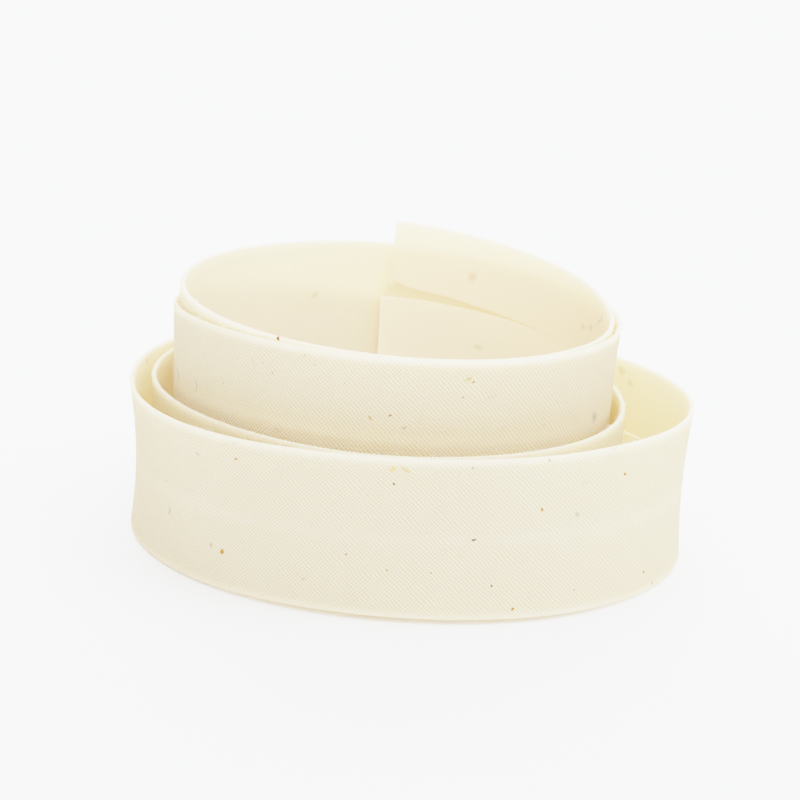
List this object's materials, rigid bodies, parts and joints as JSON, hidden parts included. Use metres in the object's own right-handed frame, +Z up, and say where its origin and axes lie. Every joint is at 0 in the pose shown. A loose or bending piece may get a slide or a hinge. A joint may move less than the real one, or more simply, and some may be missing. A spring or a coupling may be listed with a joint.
{
  "type": "roll of single-fold bias binding",
  "caption": "Loose roll of natural calico bias binding, both edges folded in, wound in open turns and stood on edge with its inner turns drawn up.",
  "frame": {"origin": "middle of the roll's box, on the surface that the lower turns stand on", "axes": "+Z up, along the winding; -Y is the front, where the turns lie close together; +X is the side where the outer turn stands away; the inner cut end is at the back"},
  "size_m": [0.093, 0.0906, 0.0452],
  "materials": {
    "calico": "matt unbleached plain-weave cotton with small seed flecks, woven threads at 45 degrees to the strip"
  },
  "bodies": {
    "root": {"binding_strip": "calico"}
  },
  "joints": []
}
